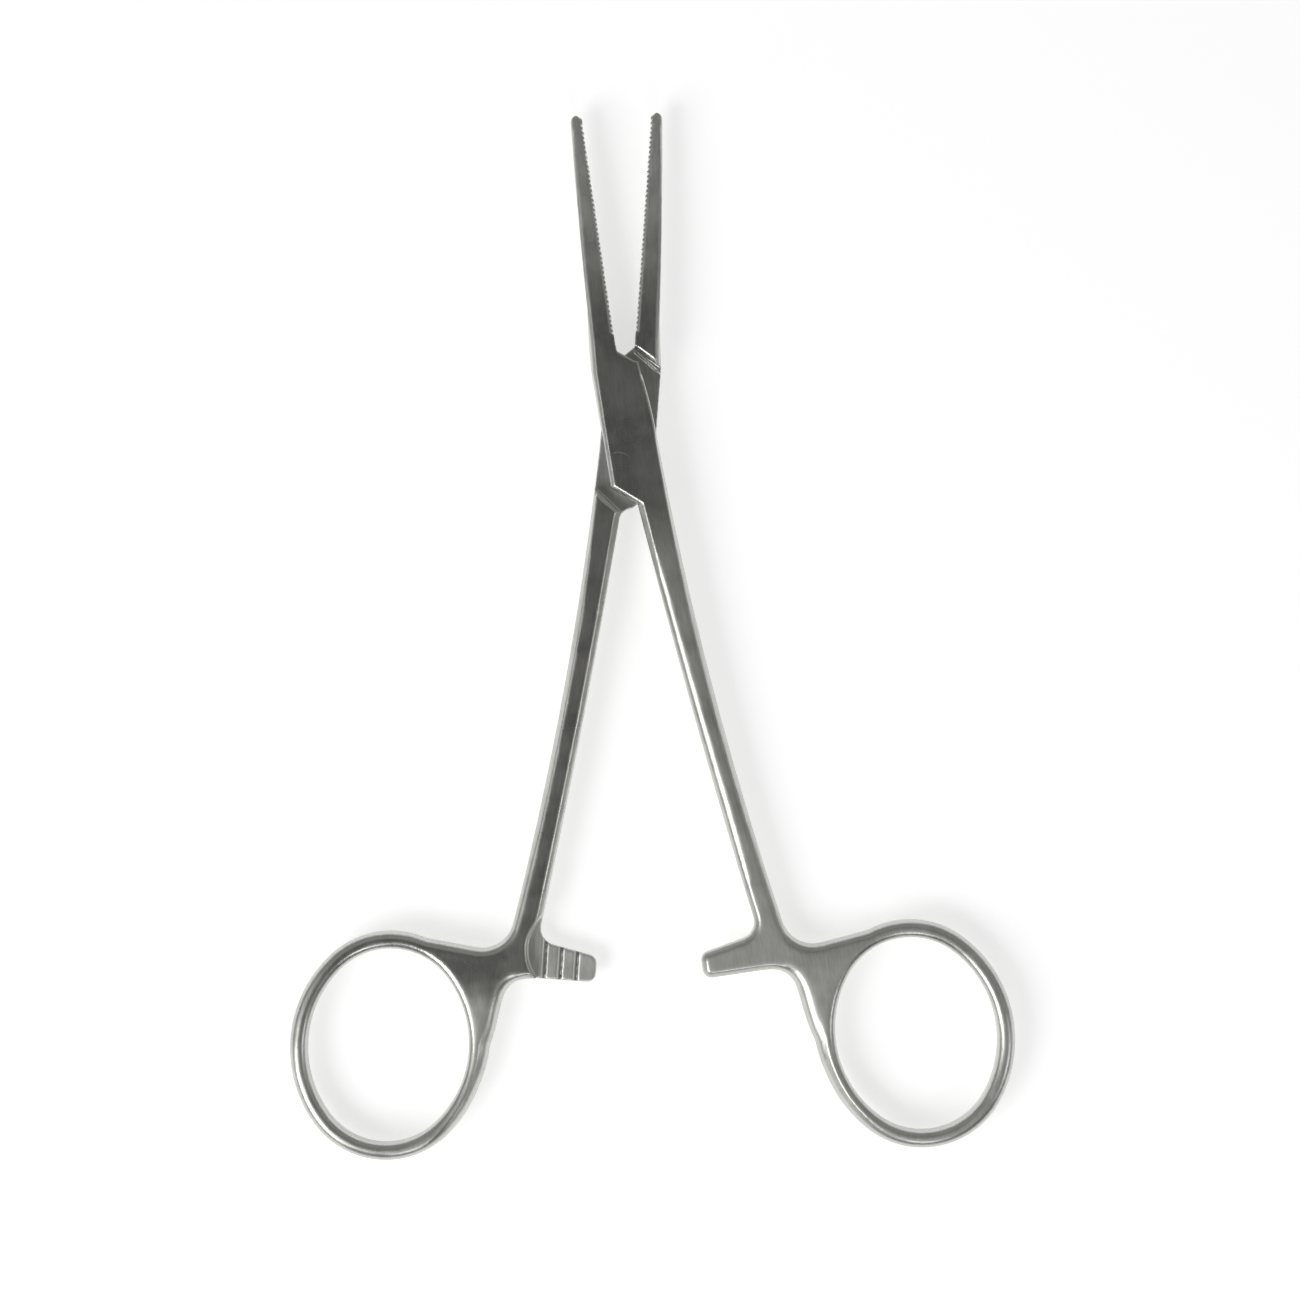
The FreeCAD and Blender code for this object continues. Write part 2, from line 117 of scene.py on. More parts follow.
# The outline that the long edges are ground from: its band of levels off the middle plane, on
# the side where the ratchet bar is whole, its upper end, and how far its faces may lean
OUTLINE_LEVELS = (0.62, 0.92)
OUTLINE_TOP = -10
UPRIGHT = 0.5

# Ground edges: the stretch and the depth that are ground, the radii at places down from the
# pivot, the radius round the ring's hole, and how much past the hole it holds, as a share
GRIND_TOP = -12.5
GRIND_DEPTH = 2.2
EDGE_PLACES = (12, 20, 45, 64, 72)
EDGE_RADII = (0.3, 0.75, 1.0, 1.2, 1.4)
HOLE_RADIUS = 1.1
HOLE_MARGIN = 1.06

# What is ground more: the inner edge of the box half's shank, and the web's edge away from the ring
BROAD_EXTRA = 0.5
BROAD_TOP = (14, 20)
BROAD_END = (-68, -48)
WEB_EXTRA = 0.7
WEB_TOP = (70, 77)
WEB_SIDE = (RING_X - 5, 6)

# The web's inner outline leans towards the middle: how far, where most, over what length, and
# between which distances from the middle plane of the instrument it sets in
LEAN = 0.5
LEAN_Y = 80.5
LEAN_LENGTH = 4.5
LEAN_SIDE = (15.2, 12.7)

# The shank's flats are planed below this place, where they lie no deeper than this
PLANE_TOP = -14
PLANE_DEPTH = 0.05

# Bevels in the solids: the level above which a point lies on the box's flat, the top of the
# cheek, and where its right wall runs, from its lower end over its length, with its bow
FLAT_LEVEL = 2.7
CROWN_Y = 10.6
WALL_X = 3.6
WALL_LOW = 2
WALL_LENGTH = 10.6
WALL_BOW = 0.8

# Shifts of the bevels' edges in plan: along the jaw's back and the shank's outer side with the
# places that they hold at, at the cheek's top with its slope and the band that moves, and along
# the cheek's right wall with the bevel's width
JAW_PLACES = (3, 13.5, JAW_END)
JAW_SHIFTS = (0.1, 0.35, 0.0)
SHANK_PLACES = (2, 12, 26)
SHANK_SHIFTS = (0.5, 0.32, 0)
CROWN_SLOPE = (0.61, 0.79)
CROWN_BAND = (0.2, 0.62)
CROWN_SHIFT = (0.2, 0.26)
SIDE_WIDTH = 0.75
SIDE_SHIFT = 0.5

# How much flatter the bevels get: as a share of their drop, and at the rim of the cheek
FLATTER = 0.14
RIM_FLATTER = 0.75

# Smoothing rounds: for all, and what the shank, the handle and the web near the ring have on top,
# with the places down from the pivot, or the distances from the web's spot, where they set in
ROUNDS_ALL = 3
ROUNDS_SHANK = 7
ROUNDS_HANDLE = 5
ROUNDS_WEB = 18
SHANK_FROM = (13, 19)
HANDLE_FROM = (26, 40)
WEB_WITHIN = (8, 3)
WEB_X = 12.4
WEB_Y = 79.5

# How far the waist reaches from the pivot, and how far down each half's flat is polished
WAIST_REACH = 12
POLISHED_BOX_HALF = 20.0
POLISHED_TONGUE_HALF = 84.0

# Steel: its colour, its roughness where it is brushed and where it is polished, and how high
# its unevenness, its grain and the marks of milling stand
STEEL_COLOUR = (0.60, 0.60, 0.565, 1)
BRUSHED = 0.58
POLISHED = 0.28
PATCH_HEIGHT = 0.035
GRAIN_HEIGHT = 0.003
SAWN_HEIGHT = 0.006

# Polish of the ground edges, and what the tips, the webs and the box half's handle lack of it
EDGE_POLISH = 0.7
TIP_DULL = 0.8
WEB_DULL = 1.1
HANDLE_DULL = 0.45

# Table and studio: greys of the world by height, all round and in front, and the softboxes, each
# with its direction and angle from the zenith in degrees, distance, width and radiance
TABLE_GREY = 0.8
TABLE_GLOW = 0.6
SKY_ROUND = ((0.02, 0.50), (0.2, 0.26), (0.55, 0.28), (0.75, 0.34), (0.95, 0.085))
SKY_FRONT = ((0.1, 0.50), (0.25, 0.08), (0.5, 0.08), (0.75, 0.34), (0.95, 0.085))
FRONT_FROM = -0.25
FRONT_FULL = -0.65
SOFTBOXES = (
    ("softbox_key", 214, 50, 0.7, 0.42, 3.9),
    ("softbox_left", 176, 56, 0.8, 0.30, 0.5),
    ("softbox_front", 276, 52, 0.7, 0.22, 2.2),
    ("softbox_right", 340, 56, 0.8, 0.20, 2.0),
)
LAMPS_CENTRE = (0, -0.04, 0)


def new_object(name, mesh):
    """A mesh object in the scene."""
    piece = bpy.data.objects.new(name, mesh)
    bpy.context.scene.collection.objects.link(piece)
    return piece


def applied(piece):
    """Turns the piece's modifiers into its mesh."""
    depsgraph = bpy.context.evaluated_depsgraph_get()
    mesh = bpy.data.meshes.new_from_object(piece.evaluated_get(depsgraph))
    piece.modifiers.clear()
    piece.data = mesh
    return piece


def points_of(mesh):
    """The mesh's vertices as an array of rows."""
    flat = np.empty(len(mesh.vertices) * 3)
    mesh.vertices.foreach_get("co", flat)
    return flat.reshape(-1, 3)


def normals_of(mesh):
    """The vertices' normals as an array of rows."""
    flat = np.empty(len(mesh.vertices) * 3)
    mesh.vertices.foreach_get("normal", flat)
    return flat.reshape(-1, 3)


def set_points(mesh, points):
    """Gives the mesh's vertices new places."""
    mesh.vertices.foreach_set("co", points.astype(np.float32).ravel())
    mesh.update()


def closed_frame(points, turn):
    """Points as they stand when the jaws are closed, given the half's own turn in degrees."""
    angle = math.radians(turn)
    cos, sin = math.cos(angle), math.sin(angle)
    x = points[:, 0] * cos + points[:, 1] * sin
    y = points[:, 1] * cos - points[:, 0] * sin
    return np.stack([x, y, points[:, 2]], 1)


def half_frame(points, turn):
    """The half's hand, and its points' places with the jaws closed and the shank on the +X side,
    their heights counted from the middle plane."""
    hand = math.copysign(1, turn)
    shut = closed_frame(points, turn)
    return hand, shut[:, 0] * hand, shut[:, 1], points[:, 2] - MID_HEIGHT


def shift_in_plan(points, turn, shift_x, shift_y):
    """Moves points by shifts that are given as the half stands with the jaws closed."""
    angle = math.radians(turn)
    cos, sin = math.cos(angle), math.sin(angle)
    points[:, 0] += shift_x * cos - shift_y * sin
    points[:, 1] += shift_x * sin + shift_y * cos


def shank_half(y):
    """Half the thickness from the box down the shank."""
    return np.interp(-y, (BOX_END, THIN_FROM), (MID_HEIGHT, THIN_HALF))


def jaw_half(y):
    """Half the thickness from the box up the jaw."""
    return np.interp(y, (BOX_END, JAW_END), (MID_HEIGHT, TIP_HALF))


def forging(node, name, turn):
    """The half as one skin with soft, ground edges, in millimetres."""
    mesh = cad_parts[node].data.copy()
    shape = bmesh.new()
    shape.from_mesh(mesh)
    bmesh.ops.remove_doubles(shape, verts=shape.verts, dist=2e-6)
    bmesh.ops.transform(shape, matrix=Matrix.Scale(1 / MM, 4), verts=shape.verts)
    if turn > 0:
        for low, high in ((0, SLOT_LOW), (SLOT_HIGH, BOX_TOP)):
            plug_hole(shape, low, high)
    shape.to_mesh(mesh)
    shape.free()
    set_points(mesh, ease_bevels(points_of(mesh), turn))
    pattern = new_object(f"{name}_pattern", mesh)
    piece = new_object(name, mesh.copy())
    reskin(piece)
    round_over(piece, turn)
    reskin(piece)
    sharpen(piece, pattern, turn)
    dress_faces(piece, turn)
    soften(piece, turn)
    bpy.data.objects.remove(pattern)
    return piece


def sharpen(piece, pattern, turn):
    """Lays the skin of the jaws and the box onto the faces that it was made from, so that their
    flats and bevels meet in crisp edges."""
    along = closed_frame(points_of(piece.data), turn)[:, 1]
    crisp = piece.vertex_groups.new(name="crisp")
    for spot, share in enumerate(ramp(along, *CRISP_END)):
        if share > 0:
            crisp.add([spot], float(share), "REPLACE")
    wrap = piece.modifiers.new("wrap", "SHRINKWRAP")
    wrap.target = pattern
    wrap.wrap_method = "NEAREST_SURFACEPOINT"
    wrap.vertex_group = "crisp"
    applied(piece)
    piece.vertex_groups.clear()


def reskin(piece):
    """One even skin over everything that the piece is made of."""
    remesh = piece.modifiers.new("skin", "REMESH")
    remesh.mode = "VOXEL"
    remesh.voxel_size = VOXEL
    applied(piece)


def round_over(piece, turn):
    """Grinds the long edges of the shank, the web and the ring round: the surface comes down in a
    quarter circle towards the nearest point of the outline."""
    points = points_of(piece.data)
    hand, x, y, level = half_frame(points, turn)
    normals = normals_of(piece.data)
    upright = np.abs(normals[:, 2]) < UPRIGHT
    banded = (level * hand > OUTLINE_LEVELS[0]) & (level * hand < OUTLINE_LEVELS[1])
    outline = np.nonzero(upright & banded & (y < OUTLINE_TOP))[0]
    tree = KDTree(len(outline))
    for spot in outline:
        tree.insert((x[spot], y[spot], 0), spot)
    tree.balance()
    facing = closed_frame(normals, turn)[outline, 0] * hand
    broad = (facing < -UPRIGHT) & (hand > 0)
    radii = dict(zip(outline, edge_radii(x[outline], y[outline], broad)))
    half = shank_half(y)
    for spot in np.nonzero((y < GRIND_TOP) & (np.abs(level) > half - GRIND_DEPTH))[0]:
        _, nearest, distance = tree.find((x[spot], y[spot], 0))
        radius = radii[nearest]
        if distance < radius:
            top = half[spot] - radius + math.sqrt(radius ** 2 - (radius - distance) ** 2)
            level[spot] = max(-top, min(top, level[spot]))
    points[:, 2] = level + MID_HEIGHT
    lean = -LEAN * np.exp(-((y + LEAN_Y) / LEAN_LENGTH) ** 2) * ramp(x, *LEAN_SIDE)
    shift_in_plan(points, turn, lean * (y < -WEB_TOP[0]) * hand, 0)
    set_points(piece.data, points)


def edge_radii(x, y, broad):
    """How far the edge is ground round at points of the outline. broad says where the inner edge
    of the shank is ground more."""
    least = EDGE_RADII[0]
    radii = np.interp(-y, EDGE_PLACES, EDGE_RADII)
    radii[broad] += BROAD_EXTRA * ramp(-y[broad], *BROAD_TOP) * ramp(y[broad], *BROAD_END)
    radii += WEB_EXTRA * ramp(WEB_SIDE[0] - x, 0, WEB_SIDE[1]) * ramp(-y, *WEB_TOP)
    hole = np.hypot((x - RING_X) / HOLE_WIDE, (y + RING_Y) / HOLE_LONG) < HOLE_MARGIN
    radii[hole] = HOLE_RADIUS
    past_bar = ramp(np.hypot(x - RELIEF_X, y + RELIEF_Y), RELIEF_RADIUS, RELIEF_RADIUS + 3)
    return least + (radii - least) * past_bar


def dress_faces(piece, turn):
    """Planes the flats of the shank, rounds the tip of the jaw and bevels its toothed edges."""
    points = points_of(piece.data)
    hand, x, y, level = half_frame(points, turn)
    half = shank_half(y)
    drop = np.clip(half - np.abs(level), 0, None)
    planed = np.sign(level) * (half - drop * ramp(drop, 0, PLANE_DEPTH))
    level = np.where((y < PLANE_TOP) & (drop < PLANE_DEPTH), planed, level)

    # Toothed edges and the top of the tip
    start = TOOTH_START if hand > 0 else TOOTH_START + TOOTH_PITCH / 2
    depth = cut_teeth(-x - BITE_GAP, y, start)
    inward = np.clip(TOOTH_BEVEL - depth, 0, TOOTH_BEVEL + 0.2)
    onward = np.clip(y - (JAW_END - TIP_STRETCH), 0, TIP_STRETCH) / TIP_STRETCH
    curve = 1 - np.sqrt(1 - np.minimum(onward, 0.99) ** 2)
    top = jaw_half(y) - TOOTH_FALL * inward - TIP_DROP * curve
    jaw = (y > JAW_START) & (x > -6)
    level = np.where(jaw, np.clip(level, -top, top), level)
    points[:, 2] = level + MID_HEIGHT

    # Depth of the teeth, and the tip's rounded inner corner
    deeper = -depth - BITE_GAP - x
    corner_x = np.clip(x + BITE_GAP + TIP_CORNER, 0, None)
    corner_y = np.clip(y - (JAW_END - TIP_CORNER), 0, None)
    far = np.where((corner_x > 0) & (corner_y > 0), np.hypot(corner_x, corner_y), 0)
    pull = np.where(far > TIP_CORNER, TIP_CORNER / np.maximum(far, TIP_CORNER) - 1, 0)
    shift_in_plan(points, turn, (deeper + corner_x * pull) * hand, corner_y * pull)
    set_points(piece.data, points)


def cut_teeth(depth, y, start):
    """How far points of the jaw lie from the bite once the tooth gaps are cut crisp and deeper."""
    end = start + math.floor((JAW_END - TOOTH_MARGIN - start) / TOOTH_PITCH) * TOOTH_PITCH
    gap = 1 - np.abs(2 * ((y - start) / TOOTH_PITCH % 1) - 1)
    old, new = gap * TOOTH_DEPTH + TOOTH_LAND, gap * (TOOTH_DEPTH + TOOTH_PUSH)
    moved = new + np.clip(depth - old, 0, None) * (TOOTH_REACH - new) / (TOOTH_REACH - old)
    return np.where((y > start) & (y < end) & (depth < TOOTH_REACH), moved, depth)


def plug_hole(shape, low, high):
    """Fills the pivot's hole for the time of the softening."""
    place = Matrix.Translation((0, 0, (low + high) / 2))
    bmesh.ops.create_cone(
        shape, cap_ends=True, segments=48, radius1=PIN_HOLE + 0.2, radius2=PIN_HOLE + 0.2,
        depth=high - low, matrix=place
    )


def drill_hole(piece):
    """Cuts the pivot's hole again, with a crisp rim."""
    bpy.ops.mesh.primitive_cylinder_add(vertices=160, radius=PIN_HOLE, depth=3 * BOX_TOP)
    drill = bpy.context.object
    cut = piece.modifiers.new("hole", "BOOLEAN")
    cut.operation = "DIFFERENCE"
    cut.object = drill
    applied(piece)
    bpy.data.objects.remove(drill)


def ease_bevels(points, turn):
    """Widens and narrows the bevels along the jaw, the cheek and the shank by moving their edges
    in plan, and makes those of the jaw and the cheek a little flatter."""
    hand, x, y, height = half_frame(points, turn)
    level = np.abs(height)
    share = (y + WALL_LOW) / WALL_LENGTH
    wall = WALL_X - share + WALL_BOW * share * (1 - share)

    # Upper edge of the bevel along the jaw's back
    jaw = (x < -0.8) & (y > 3) & (level > TIP_HALF)
    shift_x = np.where(jaw, np.interp(y, JAW_PLACES, JAW_SHIFTS), 0)
    shift_y = np.zeros(len(x))
    if hand > 0:
        # Bevel at the cheek's upper end, whose line falls from left to right
        below = (CROWN_Y - y) * CROWN_SLOPE[1] - x * CROWN_SLOPE[0]
        crown = (below > CROWN_BAND[0]) & (below < CROWN_BAND[1]) & (x > -1) & (y > 7)
        crown &= level > FLAT_LEVEL
        shift_x += np.where(crown, CROWN_SHIFT[0], 0)
        shift_y += np.where(crown, CROWN_SHIFT[1], 0)

    # Bevel along the shank's outer side below the box
    edge = 2.85 - (y + 2) * 0.05
    outer = (np.abs(x - edge) < 0.3) & (y < -1) & (y > -26) & (level > shank_half(y) - 0.02)
    shift_x += np.where(outer, np.interp(-y, SHANK_PLACES, SHANK_SHIFTS), 0)

    # Bevel along the cheek's right wall
    side = (y > -1) & (y < 9) & (level > FLAT_LEVEL) & (np.abs(x - wall + SIDE_WIDTH) < 0.2)
    shift_x += np.where(side, SIDE_SHIFT, 0)
    moved = points.copy()
    shift_in_plan(moved, turn, shift_x * hand, shift_y)

    # Lower edges, which come up to make the bevels flatter
    drop = jaw_half(y) - level
    low_edge = (y > -13) & (drop > 0.15) & (drop < 1)
    rise = np.where(low_edge, FLATTER * drop, 0)
    if hand > 0:
        rim = low_edge & (y > 0) & (y < 8) & (np.abs(x - wall) < 0.25)
        rise = np.where(rim, RIM_FLATTER * drop, rise)
    moved[:, 2] += np.sign(height) * rise
    return moved


def ramp(values, low, high):
    """0 below low, 1 above high and a smooth rise between."""
    share = np.clip((values - low) / (high - low), 0, 1)
    return share * share * (3 - 2 * share)


def soften(piece, turn):
    """Rounds the edges: least on the jaws and the box, more on the shank and the ring, most where
    the web runs into the ring. The serrations stay crisp."""
    _, x, y, level = half_frame(points_of(piece.data), turn)
    rounds = ROUNDS_ALL + ROUNDS_SHANK * ramp(-y, *SHANK_FROM)
    rounds += ROUNDS_HANDLE * ramp(-y, *HANDLE_FROM)
    rounds += ROUNDS_WEB * ramp(np.hypot(x - WEB_X, y + WEB_Y), *WEB_WITHIN)
    rounds[(np.abs(x) < 0.5) & (y > 12)] = 0
    in_relief = np.hypot(x - RELIEF_X, y + RELIEF_Y) < RELIEF_RADIUS + 0.4
    rounds[in_relief & (np.abs(level) < 0.8)] = 1
    shape = bmesh.new()
    shape.from_mesh(piece.data)
    shape.verts.ensure_lookup_table()
    for turn_number in range(int(rounds.max())):
        chosen = [shape.verts[i] for i in np.nonzero(rounds > turn_number)[0]]
        bmesh.ops.smooth_vert(
            shape, verts=chosen, factor=0.5, use_axis_x=True, use_axis_y=True, use_axis_z=True
        )
    shape.to_mesh(piece.data)
    shape.free()


def mark_part(mesh, turn):
    """Gives the mesh the coordinates and masks that its steel is patterned by: its place in
    millimetres with the jaws closed and the shank on the +X side, where it is milled (rougher, and
    lighter as painted sheen), where its notches get painted shade, is polished and lies level."""
    hand, x, y, height = half_frame(points_of(mesh), turn)
    place = mesh.attributes.new("place", "FLOAT_VECTOR", "POINT")
    place.data.foreach_set("vector", np.stack([x, y, height], 1).astype(np.float32).ravel())
    level = np.abs(height)
    waist = (np.abs(y) < WAIST_REACH) * ramp(level, 1.2, 0.98)
    in_relief = np.hypot(x - RELIEF_X, y + RELIEF_Y) < RELIEF_RADIUS + 0.1
    masks = {
        # milled: faces that are rougher and sawn, and whose colour is lightened as painted sheen
        "milled": np.maximum(waist * 0.6, in_relief * ramp(level, 0.5, 0.3)),
        # notched: where painted shade darkens the slopes of the ratchet's notches
        "notched": in_relief * ramp(height * hand, 0.12, 0.3) * (level < 0.7),
        "smooth_to": np.full(len(x), POLISHED_BOX_HALF if hand > 0 else POLISHED_TONGUE_HALF),
        "level_top": ramp(np.abs(normals_of(mesh)[:, 2]), 0.93, 0.995),
    }
    for name, values in masks.items():
        mask = mesh.attributes.new(name, "FLOAT", "POINT")
        mask.data.foreach_set("value", values.astype(np.float32))


def finish_piece(piece, turn, body, node, material):
    """Thins the mesh where it is flat, puts it in metres and hands it to its body."""
    if turn > 0:
        drill_hole(piece)
    if len(piece.data.polygons) * 2 > PIECE_TRIANGLES:
        thin = piece.modifiers.new("thin", "DECIMATE")
        thin.ratio = PIECE_TRIANGLES / (len(piece.data.polygons) * 2)
        applied(piece)
    mark_part(piece.data, turn)
    piece.data.transform(Matrix.Scale(MM, 4))
    piece.data.shade_smooth()
    piece.data.set_sharp_from_angle(angle=math.radians(SHARP_ANGLE))
    even = piece.modifiers.new("even", "WEIGHTED_NORMAL")
    even.keep_sharp = True
    applied(piece)
    piece.data.materials.clear()
    piece.data.materials.append(material)
    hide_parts(node)
    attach(piece, body)


class Tree:
    """A node tree with shorthands for the nodes that the materials are made of."""

    def __init__(self, tree):
        self.tree = tree

    def node(self, kind, **values):
        node = self.tree.nodes.new(kind)
        for name, value in values.items():
            setattr(node, name, value)
        return node

    def put(self, socket, value):
        if isinstance(value, bpy.types.NodeSocket):
            self.tree.links.new(value, socket)
        else:
            socket.default_value = value

    def math(self, operation, *values):
        node = self.node("ShaderNodeMath", operation=operation)
        for socket, value in zip(node.inputs, values):
            self.put(socket, value)
        return node.outputs[0]

    def chain(self, operation, *values):
        """Joins any number of values, one after another."""
        result = values[0]
        for value in values[1:]:
            result = self.math(operation, result, value)
        return result

    def product(self, *values):
        return self.chain("MULTIPLY", *values)

    def sum(self, *values):
        return self.chain("ADD", *values)

    def attribute(self, name, output="Fac"):
        return self.node("ShaderNodeAttribute", attribute_name=name).outputs[output]

    def range(self, value, low, high, first=0.0, last=1.0):
        """Smoothly from first, where value is low, to last, where it is high."""
        node = self.node("ShaderNodeMapRange", interpolation_type="SMOOTHSTEP")
        for socket, entry in zip(node.inputs, (value, low, high, first, last)):
            self.put(socket, entry)
        return node.outputs[0]

    def stretched(self, vector, factors):
        node = self.node("ShaderNodeVectorMath", operation="MULTIPLY")
        self.put(node.inputs[0], vector)
        node.inputs[1].default_value = factors
        return node.outputs[0]

    def noise(self, vector, scale, detail=2.0, roughness=0.5):
        node = self.node("ShaderNodeTexNoise")
        self.put(node.inputs["Vector"], vector)
        node.inputs["Scale"].default_value = scale
        node.inputs["Detail"].default_value = detail
        node.inputs["Roughness"].default_value = roughness
        return node.outputs["Fac"]


def satin_group():
    """Ground satin steel, from a place in millimetres, how smooth it is (down to -1), how much it
    is milled or scratched and how much painted shade its notches get: colour, roughness and normal.
    Milled faces also get a lighter colour, which is painted sheen."""
    group = bpy.data.node_groups.new("satin_finish", "ShaderNodeTree")
    for name, way, kind in (
        ("Place", "INPUT", "Vector"), ("Polish", "INPUT", "Float"), ("MilledAndSheen", "INPUT", "Float"),
        ("GrooveShade", "INPUT", "Float"), ("Scratch", "INPUT", "Float"), ("Color", "OUTPUT", "Color"),
        ("Roughness", "OUTPUT", "Float"), ("Normal", "OUTPUT", "Vector")
    ):
        group.interface.new_socket(name, in_out=way, socket_type=f"NodeSocket{kind}")
    tree = Tree(group)
    given = tree.node("NodeGroupInput").outputs
    result = tree.node("NodeGroupOutput").inputs
    place = given["Place"]
    cloud = tree.noise(place, 0.22, 3.0)
    patch = tree.noise(tree.stretched(place, (1, 0.5, 1)), 0.9, 3.0, 0.6)
    grain = tree.noise(tree.stretched(place, (1, 0.07, 1)), 6.0, 3.0, 0.7)
    sawn = tree.noise(tree.stretched(place, (0.08, 1, 1)), 9.0, 3.0, 0.7)
    pits = tree.noise(place, 6.0, 4.0, 0.75)

    roughness = tree.sum(
        tree.range(given["Polish"], -1, 1, BRUSHED, POLISHED),
        tree.range(cloud, 0.35, 0.65, -0.02, 0.03),
        tree.range(patch, 0.3, 0.7, -0.01, 0.015),
        tree.product(given["MilledAndSheen"], 0.16),
        tree.product(given["Scratch"], 0.15)
    )
    tree.put(result["Roughness"], roughness)

    shade = tree.product(
        tree.sum(tree.range(cloud, 0.35, 0.65, 0.94, 1.03), tree.range(grain, 0.3, 0.7, -0.08, 0.08)),
        tree.range(pits, 0.68, 0.78, 1.0, 0.97),
        # Painted shade: the ratchet's notches go down to 0.4 of the colour
        tree.range(given["GrooveShade"], 0, 1, 1.0, 0.4),
        # Painted sheen: milled faces up to 1.4 times lighter in colour
        tree.range(given["MilledAndSheen"], 0.3, 1.0, 1.0, 1.4)
    )
    tone = tree.node("ShaderNodeMix", data_type="RGBA", blend_type="MULTIPLY")
    tone.inputs["Factor"].default_value = 1
    tone.inputs["A"].default_value = STEEL_COLOUR
    grey = tree.node("ShaderNodeCombineColor")
    for channel in grey.inputs:
        tree.put(channel, shade)
    tree.put(tone.inputs["B"], grey.outputs[0])
    tree.put(result["Color"], tone.outputs["Result"])

    height = tree.sum(
        tree.product(patch, PATCH_HEIGHT),
        tree.product(grain, GRAIN_HEIGHT),
        tree.product(given["MilledAndSheen"], tree.product(sawn, SAWN_HEIGHT))
    )
    bump = tree.node("ShaderNodeBump")
    bump.inputs["Strength"].default_value = 1
    bump.inputs["Distance"].default_value = MM
    tree.put(bump.inputs["Height"], height)
    tree.put(result["Normal"], bump.outputs[0])
    return group


def scratch_mask(tree, place, split, box_only):
    """1 along the arc of the scratch on the front cheek, 0 elsewhere."""
    around = tree.node("ShaderNodeVectorMath", operation="DISTANCE")
    tree.put(around.inputs[0], tree.stretched(place, (1, 1, 0)))
    around.inputs[1].default_value = (SCRATCH_X, SCRATCH_Y, 0)
    past_arc = tree.math("SUBTRACT", around.outputs["Value"], SCRATCH_RADIUS)
    return tree.product(
        tree.range(tree.math("ABSOLUTE", past_arc), 0.11, 0.03),
        tree.range(split["Y"], -4.4, -4.0),
        tree.range(split["X"], -2.5, -2.1),
        tree.range(split["X"], 0.0, -1.2),
        tree.range(split["Z"], 2.2, 2.6),
        box_only
    )


def polish_mask(tree, split, smooth_to, box_only):
    """How smooth the steel is: most on the box and the edges, least on the web and the tips."""
    level_top = tree.attribute("level_top")
    past = tree.sum(split["Y"], smooth_to)
    polish = tree.product(tree.range(past, 0, 14), tree.range(split["Y"], 26, 8))
    edges = tree.product(tree.math("SUBTRACT", 1.0, level_top), EDGE_POLISH)
    polish = tree.math("MAXIMUM", polish, edges)
    tip = tree.product(tree.range(split["Y"], 24, 38), level_top, TIP_DULL)
    web = tree.product(
        tree.range(split["Y"], -71, -79), tree.range(split["X"], 19, 16), level_top, WEB_DULL
    )
    handle = tree.product(tree.range(split["Y"], -46, -64), box_only, level_top, HANDLE_DULL)
    return tree.chain("SUBTRACT", polish, tip, web, handle)


def steel(name, finish, marked):
    """Satin steel. marked says whether the mesh carries its own place and masks."""
    material = bpy.data.materials.new(name)
    material.use_nodes = True
    tree = Tree(material.node_tree)
    shader = tree.tree.nodes["Principled BSDF"]
    shader.inputs["Metallic"].default_value = 1
    satin = tree.node("ShaderNodeGroup", node_tree=finish)
    if marked:
        place = tree.attribute("place", "Vector")
        smooth_to = tree.attribute("smooth_to")
        box_only = tree.range(smooth_to, 70, 50)
        split = tree.node("ShaderNodeSeparateXYZ")
        tree.put(split.inputs[0], place)
        given = {
            "Place": place,
            "Polish": polish_mask(tree, split.outputs, smooth_to, box_only),
            "Scratch": scratch_mask(tree, place, split.outputs, box_only),
            "MilledAndSheen": tree.attribute("milled"),
            "GrooveShade": tree.attribute("notched"),
        }
    else:
        spot = tree.node("ShaderNodeTexCoord").outputs["Object"]
        place = tree.stretched(spot, (1 / MM, 1 / MM, 1 / MM))
        given = {"Place": place, "Polish": 1.0, "Scratch": 0.0, "MilledAndSheen": 0.0, "GrooveShade": 0.0}
    for socket, value in given.items():
        tree.put(satin.inputs[socket], value)
    for source, socket in (("Color", "Base Color"), ("Roughness", "Roughness"), ("Normal", "Normal")):
        tree.put(shader.inputs[socket], satin.outputs[source])
    return material


def make_floor():
    """A white table that keeps the object's shadow."""
    bpy.ops.mesh.primitive_plane_add(size=4)
    floor = bpy.context.object
    floor.name = "floor"
    material = bpy.data.materials.new("table")
    material.use_nodes = True
    tree = Tree(material.node_tree)
    shader = tree.tree.nodes["Principled BSDF"]
    shader.inputs["Base Color"].default_value = (TABLE_GREY, TABLE_GREY, TABLE_GREY, 1)
    shader.inputs["Roughness"].default_value = 0.9
    shader.inputs["Emission Color"].default_value = (1, 1, 1, 1)
    rays = tree.node("ShaderNodeLightPath").outputs
    seen = tree.math("MAXIMUM", rays["Is Camera Ray"], rays["Is Glossy Ray"])
    tree.put(shader.inputs["Emission Strength"], tree.product(seen, TABLE_GLOW))
    floor.data.materials.append(material)


def grey_ramp(tree, value, stops):
    """A colour ramp over value, with its greys given as pairs of a place and a grey."""
    node = tree.node("ShaderNodeValToRGB")
    tree.put(node.inputs[0], value)
    elements = node.color_ramp.elements
    while len(elements) < len(stops):
        elements.new(0.5)
    for element, (place, grey) in zip(elements, stops):
        element.position = place
        element.color = (grey, grey, grey, 1)
    return node.outputs[0]


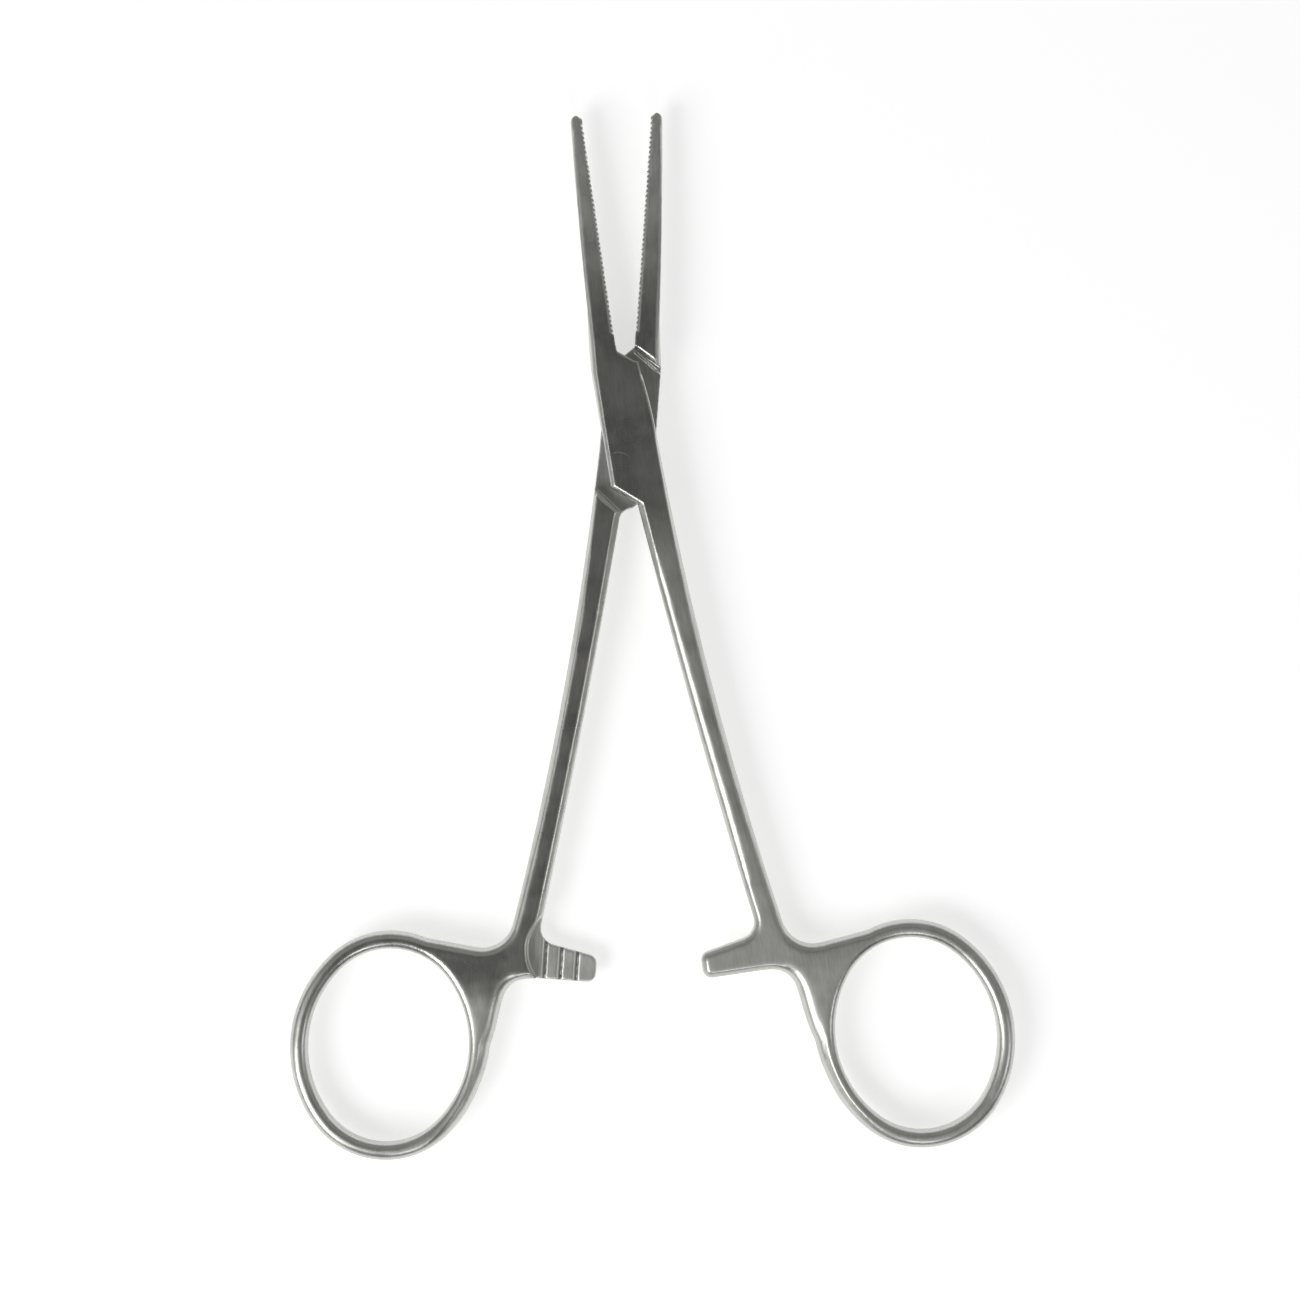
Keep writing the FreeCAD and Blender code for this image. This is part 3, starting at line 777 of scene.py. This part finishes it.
def make_world():
    """A studio that is dark overhead, where the camera hangs, and lighter all round."""
    world = bpy.data.worlds.new("studio")
    bpy.context.scene.world = world
    world.use_nodes = True
    tree = Tree(world.node_tree)
    background = tree.tree.nodes["Background"]
    split = tree.node("ShaderNodeSeparateXYZ")
    tree.put(split.inputs[0], tree.node("ShaderNodeTexCoord").outputs["Generated"])
    mix = tree.node("ShaderNodeMix", data_type="RGBA")
    tree.put(mix.inputs["Factor"], tree.range(split.outputs["Y"], FRONT_FROM, FRONT_FULL))
    tree.put(mix.inputs["A"], grey_ramp(tree, split.outputs["Z"], SKY_ROUND))
    tree.put(mix.inputs["B"], grey_ramp(tree, split.outputs["Z"], SKY_FRONT))
    tree.put(background.inputs["Color"], mix.outputs["Result"])
    background.inputs["Strength"].default_value = 1.0


def add_softbox(name, azimuth, from_zenith, distance, width, radiance):
    """A square lamp that faces the object, from a compass direction where 0 is +X and 90 is +Y."""
    data = bpy.data.lights.new(name, "AREA")
    data.shape = "SQUARE"
    data.size = width
    data.energy = radiance * math.pi * width * width
    lamp = bpy.data.objects.new(name, data)
    bpy.context.scene.collection.objects.link(lamp)
    around, down = math.radians(azimuth), math.radians(from_zenith)
    flat = math.sin(down)
    away = Vector((math.cos(around) * flat, math.sin(around) * flat, math.cos(down)))
    lamp.location = away * distance + Vector(LAMPS_CENTRE)
    lamp.rotation_euler = away.to_track_quat("Z", "Y").to_euler()


def make_camera():
    data = bpy.data.cameras.new("camera")
    data.lens = LENS
    data.sensor_width = SENSOR
    camera = bpy.data.objects.new("camera", data)
    bpy.context.scene.collection.objects.link(camera)
    distance = VIEW_WIDTH * LENS / SENSOR
    camera.location = (VIEW_CENTRE[0] * MM, VIEW_CENTRE[1] * MM, (distance + MID_HEIGHT) * MM)
    camera.rotation_euler = (0, 0, math.radians(VIEW_ROLL))
    data.clip_start = 0.01
    bpy.context.scene.camera = camera


def main():
    bpy.context.scene.view_settings.view_transform = "Standard"
    make_world()
    for softbox in SOFTBOXES:
        add_softbox(*softbox)
    make_floor()
    make_camera()
    finish = satin_group()
    satin = steel("satin_steel", finish, True)
    for node, turn, body in (
        ("box_half", HALF_OPENING, "box_side"), ("tongue_half", -HALF_OPENING, "tongue_side")
    ):
        piece = forging(node, f"{node}_forging", turn)
        finish_piece(piece, turn, body, node, satin)
    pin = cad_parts["pivot_pin"]
    pin.material_slots[0].link = "OBJECT"
    pin.material_slots[0].material = steel("pin_steel", finish, False)


main()
